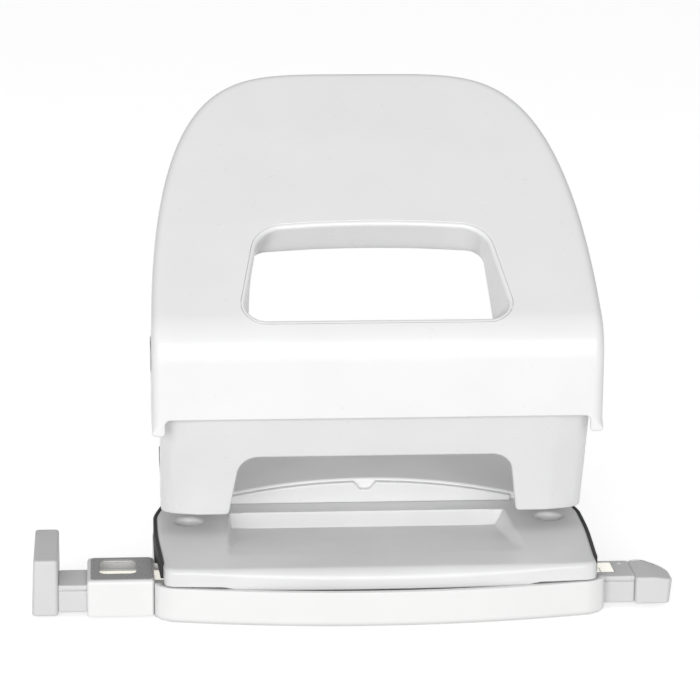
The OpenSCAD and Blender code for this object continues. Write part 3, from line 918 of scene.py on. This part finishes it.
def tray_rim(x, y):
    """Walls up to the rim, and none where the guide bar passes."""
    if abs(x) > tray_high.x - 0.6 and CHANNEL[0] < y < CHANNEL[1]:
        return edge_rim(0.3, TRAY_FLOOR)
    wall = flange_rim(1.3, TRAY_RIM_Z - TRAY_BASE_Z, 1.5, 0.2)[:-BACK]
    return wall + [(1.5, TRAY_FLOOR + k) for k in (0.4, 0.2, 0.1, 0.05)] + [(1.6, TRAY_FLOOR)]


def build_tray():
    """The tray's shell with its guide channel and its two hinge knuckles."""
    half = tray_high.x
    loop = bowed_outline(half, TRAY_FRONT, TRAY_REAR, TRAY_BOW, 3, 2)
    corner = 0.03    # the walls stop within this much of the channel's edges
    cuts = [(half, y) for edge in CHANNEL for y in (edge - corner, edge + corner)]
    right = sorted([p for p in loop if p[0] > half - 1e-6] + cuts, key=lambda p: p[1])
    left = [(-x, y) for x, y in reversed(right)]
    ends = [p for p in loop if abs(p[0]) < half - 1e-6]
    front = sorted([p for p in ends if p[1] < 0], key=lambda p: p[0])
    rear = sorted([p for p in ends if p[1] > 0], key=lambda p: -p[0])
    shell = sheet_mesh([front + right + rear + left], [tray_rim],
                       lambda x, y, n: (edge_x(x, y, 0, TRAY_DRAWN), y, TRAY_BASE_Z + n),
                       spaced(-37, 63, 5), spaced(-half, half, 5))
    ribs = [slab(-44.4, CHANNEL[0] - 1, 44.4, CHANNEL[0], TRAY_RIM_Z - 0.6, 6.4, 0.25, 0.4),
            slab(-44.4, CHANNEL[1], 44.4, CHANNEL[1] + 1, TRAY_RIM_Z, 7, 0.25, 0.4)]
    knuckle = hinge_knuckle(17.9, 30, -1)
    make_piece("tray_body", *joined(shell, *ribs, knuckle, mirrored(knuckle)), tray_plastic, "tray",
               ["chip_tray"], "tray_plastic")


def build_rim_shade_strips():
    """Dark strips on the tray's rim, behind the channel and under the plate's lip: painted shade
    for the shaded ledge and for the gap under the lip.
    """
    half = tray_high.x
    # These dark strips are painted shade, not real seals.
    shade_strips = [slab(x - 0.7, CHANNEL[1] + 0.2, x + 0.7, 3, TRAY_RIM_Z + 0.13, 0.2, 0.05, 0.5)
             for x in (-half + 0.85, half - 0.85)]
    inner = [(x, bow_y(x, half, 31.3, TRAY_BOW)) for x in spaced(-30, 30, 2)]
    lip = [(x, bow_y(x, plate_high.x, 33.15, PLATE_BOW)) for x in spaced(-30, 30, 2)]
    band = slab_rim(0.05, 0.5)
    shade_strips.append(sheet_mesh([inner + list(reversed(lip))], [lambda x, y: band],
                            lambda x, y, n: (x, y, LIP_Z + 0.1 - n), [], [], 0.1))
    make_piece("rim_shade_strips", *joined(*shade_strips), rubber, "tray", [], "foot_rubber")


def build_plate_side_bands():
    """A dark strip along each of the plate's curved sides."""
    front, rear, proud, sunk = -27.5, 60, 0.6, -0.15
    rim = slab_rim(0.2, plate_high.z - 0.25 - FLANGE_Z)

    def along(y, out):
        return edge_x(plate_high.x, y, PLATE_SWELL, PLATE_DRAWN) + out

    ys = spaced(front, rear, 1.2)
    loop = [(along(y, proud), y) for y in ys] + [(along(y, sunk), y) for y in reversed(ys)]
    strip = sheet_mesh([loop], [lambda x, y: rim],
                       lambda x, y, n: (x, y, plate_high.z - 0.2 - n), [], [], 0.1)
    make_piece("plate_side_bands", *joined(strip, mirrored(strip)), rubber, "base", [], "foot_rubber")


def build_feet():
    """Four rubber pads near the tray's corners."""
    low, high = box_mm("rubber_feet")
    length, width, thick = 24, 9, 0.7
    pads = []
    for x in (low.x, high.x - length):
        for y in (low.y, high.y - width):
            pads.append(slab(x, y, x + length, y + width, thick, thick, 0.15, 2.5, 0.3))
    make_piece("rubber_pads", *joined(*pads), rubber, "tray", ["rubber_feet"], "foot_rubber")


# ---- Paper guide ----

def build_sleeve():
    """The sleeve's shell, open at both ends for the bar, with a window in its top."""
    x0, x1 = sleeve_low.x, sleeve_high.x
    y0, y1 = sleeve_low.y, sleeve_high.y
    top, low = sleeve_high.z, sleeve_low.z
    open0, open1 = bar_low.y - 0.2, bar_high.y + 0.2
    edges = [open0, open0 + 0.04, open1 - 0.04, open1]
    loop = divided(rounded([(x0, y0, 0.75), (x1, y0, 0.75)] + [(x1, y, 0) for y in edges]
                           + [(x1, y1, 0.75), (x0, y1, 0.75)]
                           + [(x0, y, 0) for y in reversed(edges)]), 1.2)
    hole = list(reversed(divided(rectangle(
        lens_low.x + 0.1, lens_low.y + 0.1, lens_high.x - 0.1, lens_high.y - 0.1, 1.6), 1)))
    roof = top - bar_high.z - 0.15

    def rim(x, y):
        across = (x < x0 + 0.3 or x > x1 - 0.3) and open0 + 0.02 < y < open1 - 0.02
        return flange_rim(0.7, roof if across else top - low, 0.7, 0.15)

    hole_rim = edge_rim(0.3, 0.7)
    shell = sheet_mesh([loop, hole], [rim, lambda x, y: hole_rim],
                       lambda x, y, n: (x, y, top - n), spaced(y0, y1, 2), spaced(x0, x1, 2))
    floor = slab(x0 + 0.1, y0 + 0.1, x1, y1 - 0.1, low + 0.5, 0.5, 0.1, 0.6)
    rear = slab(x0 + 0.2, bar_high.y + 0.2, lens_low.x - 0.1, y1 - 0.3, top - 0.5, 6.9, 0.1, 0.2)
    make_piece("sleeve_shell", *joined(shell, floor, rear), tray_plastic, "tray",
               ["guide_sleeve"], "sleeve_plastic")


def build_sleeve_top_shade():
    """A thin dark grey sheet over the sleeve's top, framing the window: painted shade for the
    darker look of its up-facing top.
    """
    x0, x1 = sleeve_low.x, sleeve_high.x
    y0, y1 = sleeve_low.y, sleeve_high.y
    shade_loop = divided(rectangle(x0 + 0.75, y0 + 1.0, x1 - 0.4, y1 - 0.6, 1.0), 1.2)
    shade_hole = list(reversed(divided(rectangle(
        lens_low.x + 0.35, lens_low.y + 0.35, lens_high.x - 0.35, lens_high.y - 0.35, 1.5), 1)))
    proud = 0.12
    shade_rim = slab_rim(proud, 0.3, 0.02)
    shade_sheet = sheet_mesh([shade_loop, shade_hole], [lambda x, y: shade_rim] * 2,
                       lambda x, y, n: (x, y, sleeve_high.z + proud - n), spaced(y0, y1, 2),
                       spaced(x0, x1, 2))
    make_piece("sleeve_top_shade", *shade_sheet, sleeve_top_shade_grey, "tray", [], "sleeve_plastic")


def build_lens():
    """The clear pane in the sleeve's window."""
    pane = slab(lens_low.x + 0.15, lens_low.y + 0.15, lens_high.x - 0.15, lens_high.y - 0.15,
                lens_high.z, 0.6, 0.12, 1.5)
    make_piece("window_lens", *pane, lens, "tray", ["format_window"], "clear_lens")


SCALE_BED = 0.3
GROOVE_Z = bar_high.z - 1.25


def bar_place(x, y, n):
    """The bar's top has a shallow bed for the scale."""
    bed = SCALE_BED * smooth(0, 0.15, y - scale_low.y) * smooth(0, 0.15, scale_high.y - y)
    bed *= smooth(0, 0.15, x - scale_low.x) * smooth(0, 0.15, scale_high.x - x)
    return (x, y, bar_high.z - n - bed * (1 if n < 1 else 0))


def build_bar():
    """The sliding bar: a top strip, a shadow groove along its front, and the body below."""
    x0, x1, y0, y1 = bar_low.x, bar_high.x, bar_low.y, bar_high.y
    loop = divided(rectangle(x0, y0, x1, y1, 0.5), 1.5)
    rim = slab_rim(0.3, 0.9, 0.1)
    ys = (spaced(y0, scale_low.y, 1) + spaced(scale_low.y, scale_low.y + 0.2, 0.05)
          + spaced(scale_low.y + 1, scale_high.y - 1, 2)
          + spaced(scale_high.y - 0.2, scale_high.y, 0.05) + [y1 - 0.6])
    top = sheet_mesh([loop], [lambda x, y: rim], bar_place, ys,
                     [scale_low.x - 1, scale_low.x, scale_low.x + 0.15] + spaced(x0 + 9, x1 - 5, 4)
                     + [scale_high.x - 0.15, scale_high.x, scale_high.x + 1], 0.2)
    neck = slab(x0, y0 + 0.5, x1, y1 - 0.3, bar_high.z - 0.6, 1.2, 0.05, 0.3)
    body = slab(x0, y0 + 0.12, x1, y1, GROOVE_Z, GROOVE_Z - bar_low.z, 0.3, 0.5)
    make_piece("bar_body", *joined(top, neck, body), guide_plastic, "guide", ["guide_bar"],
               "guide_plastic")
    strip = slab(scale_low.x + 0.1, scale_low.y + 0.15, scale_high.x - 0.1, scale_high.y - 0.15,
                 scale_high.z - 0.02, 0.26, 0.05, 0.4)
    make_piece("scale_strip", *strip, print_and_glow, "guide", ["format_scale"], "scale_print")


def build_fence():
    """The upright stop at the end of the bar, with a slight draft on its left side."""
    x0, x1, y0, y1 = fence_low.x, fence_high.x, fence_low.y, fence_high.y
    height = fence_high.z - fence_low.z
    mid = (x0 + x1) / 2
    taper = 0.16    # how much narrower the left half is at its top
    loop = divided(rectangle(x0, y0, x1, y1, 0.9), 1.2)

    def place(x, y, n):
        draft = 1 - taper * (1 - n / height) * (1 if x < mid else 0)
        return (mid + (x - mid) * draft, y, fence_high.z - n)

    rim = slab_rim(0.6, height, 0.4)
    mesh = sheet_mesh([loop], [lambda x, y: rim], place, spaced(y0, y1, 2), spaced(x0, x1, 1.4))
    make_piece("guide_fence", *mesh, guide_plastic, "guide", ["guide_stop"], "guide_plastic")


def build_cap():
    """The bar's end: a swelled thumb grip that rounds away to the back."""
    x0, x1, y0, y1 = cap_low.x, cap_high.x, cap_low.y, cap_high.y
    length = x1 - x0
    bulge = 0.3
    loop = divided(rounded([(x0, y0, 0.7), (x1, y0, 1.2), (x1, y1, 7), (x0, y1, 0.7)], 10), 0.8)

    def place(x, y, n):
        u = (x - x0) / length
        swell = bulge * math.sin(math.pi * min(u * 1.8, 1)) * smooth(y0, y1, y)
        high = cap_high.z - bulge + swell - 0.45 * smooth(0.45, 1, u)
        share = n / (cap_high.z - cap_low.z)
        return (x - 0.5 * share * smooth(0.5, 1, u), y, high - (high - cap_low.z) * share)

    rim = slab_rim(0.5, cap_high.z - cap_low.z, 0.4)
    mesh = sheet_mesh([loop], [lambda x, y: rim], place, spaced(y0, y1, 0.7),
                      spaced(x0, x1, 0.5), 0.3)
    nub = lathe_mesh([(0.7, 0), (0.7, 0.1), (0.55, 0.25), (0.3, 0.33)],
                     lambda a, b, h: (x0 - 2.2 + a, y1 - 2.2 + b, bar_high.z - 0.13 + h), 24)
    make_piece("bar_grip", *joined(mesh, nub), guide_plastic, "guide", ["guide_end_cap"],
               "guide_plastic")


# ---- Springs ----


def build_springs():
    """Compression coils with close-wound ends."""
    wire, turns, steps, sides = 0.4, 5, 32, 10
    n = turns * steps
    dead = 1 / turns
    for name, side in (("left", -1), ("right", 1)):
        low, high = box_mm(name + "_spring")
        mean = (high.x - low.x) / 2 - wire
        z0, z1 = low.z + wire, high.z - wire
        verts, faces = [], []
        for i in range(n + 1):
            t = i / n
            a = TAU * turns * t
            climb = min(max((t - dead * 0.8) / (1 - 1.6 * dead), 0), 1)
            z = z0 + (z1 - z0) * (0.12 * t + 0.88 * climb)
            for k in range(sides):
                b = TAU * k / sides
                r = mean + wire * math.cos(b)
                verts.append((side * pin_x + r * math.cos(a), r * math.sin(a),
                              z + wire * math.sin(b)))
        for i in range(n):
            for k in range(sides):
                j = (k + 1) % sides
                faces.append((i * sides + k, i * sides + j, (i + 1) * sides + j,
                              (i + 1) * sides + k))
        faces.append(list(range(sides)))
        faces.append([n * sides + k for k in range(sides)])
        coil = make_piece(name + "_coil", verts, faces, spring_steel, "base", [name + "_spring"],
                          "spring_steel")
        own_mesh(coil)


# ---- CAD nodes that keep their own shape ----

def dress_nodes():
    """Gives the small inner parts, which keep their CAD shape, their metal."""
    finishes = {
        "left_pin_guide": zinc, "right_pin_guide": zinc, "left_cam": zinc, "right_cam": zinc,
        "left_spring_cup": zinc, "right_spring_cup": zinc, "left_punch_pin": ground_steel,
        "right_punch_pin": ground_steel, "detent_spring": spring_steel, "tray_hinge_pin": zinc,
    }
    for node, material in finishes.items():
        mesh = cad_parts[node].data
        mesh.materials.clear()
        mesh.materials.append(material)


# ---- Stage, lights and camera ----

def build_stage():
    """A wide floor that the object's diffuse light doesn't see."""
    far = 20000
    verts = [(-far, -far, 0), (far, -far, 0), (far, far, 0), (-far, far, 0)]
    mesh = bpy.data.meshes.new("studio_floor")
    mesh.from_pydata([Vector(v) * MM for v in verts], [], [(0, 1, 2, 3)])
    mesh.materials.append(floor_material())
    floor = bpy.data.objects.new("studio_floor", mesh)
    bpy.context.collection.objects.link(floor)
    floor.visible_diffuse = False


def add_light(name, place, target, size, watts):
    """A rectangular softbox aimed at a point."""
    data = bpy.data.lights.new(name, "AREA")
    data.shape = "RECTANGLE"
    data.size, data.size_y = size
    data.energy = watts
    light = bpy.data.objects.new(name, data)
    light.location = place
    light.rotation_mode = "QUATERNION"
    light.rotation_quaternion = (Vector(target) - Vector(place)).to_track_quat("-Z", "Y")
    bpy.context.collection.objects.link(light)


def build_lights():
    """A nearly even white world, a front softbox and a weak one on the left."""
    world = bpy.data.worlds.new("studio")
    world.use_nodes = True
    nodes, links = world.node_tree.nodes, world.node_tree.links
    coords = nodes.new("ShaderNodeTexCoord")
    split = nodes.new("ShaderNodeSeparateXYZ")
    ramp = nodes.new("ShaderNodeMapRange")
    ramp.inputs["From Min"].default_value = -1
    ramp.inputs["To Min"].default_value = 0.44
    ramp.inputs["To Max"].default_value = 0.46
    links.new(coords.outputs["Generated"], split.inputs["Vector"])
    links.new(split.outputs["Z"], ramp.inputs["Value"])
    nodes["Background"].inputs["Color"].default_value = (1, 1, 1, 1)
    links.new(ramp.outputs["Result"], nodes["Background"].inputs["Strength"])
    bpy.context.scene.world = world
    add_light("front_softbox", (-0.15, -1.4, 0.4), (0, 0, 0.03), (1.5, 0.6), 16.5)
    add_light("left_softbox", (-1.2, -0.6, 0.6), (0, 0, 0.05), (0.6, 0.9), 1.5)


def build_camera():
    """A long lens from the front, a little to the left and above."""
    azimuth, elevation, roll = math.radians(-4.51), math.radians(15.0), 0.00833
    target = Vector((-0.00646, 0, 0.04596))
    distance = 0.65624
    back = Vector((math.sin(azimuth) * math.cos(elevation),
                   -math.cos(azimuth) * math.cos(elevation), math.sin(elevation)))
    right = Vector((math.cos(azimuth), math.sin(azimuth), 0))
    up = back.cross(right)
    across = right * math.cos(roll) + up * math.sin(roll)
    upward = up * math.cos(roll) - right * math.sin(roll)
    data = bpy.data.cameras.new("camera")
    data.sensor_width = 36
    data.lens = 154.3
    data.shift_x = 0.0123
    data.shift_y = 0.0303
    data.clip_start, data.clip_end = 0.01, 20
    camera = bpy.data.objects.new("camera", data)
    turn = Matrix((across, upward, back)).transposed().to_4x4()
    camera.matrix_world = Matrix.Translation(target + back * distance) @ turn
    bpy.context.collection.objects.link(camera)
    bpy.context.scene.camera = camera


build_camera()
build_lights()
build_stage()
build_hood()
build_finger_collar()
build_frame()
build_rivets()
build_pivots()
build_plate()
build_stop()
build_deck()
build_tray()
build_rim_shade_strips()
build_plate_side_bands()
build_feet()
build_sleeve()
build_sleeve_top_shade()
build_lens()
build_bar()
build_fence()
build_cap()
build_springs()
dress_nodes()
bpy.context.scene.view_settings.view_transform = "Standard"
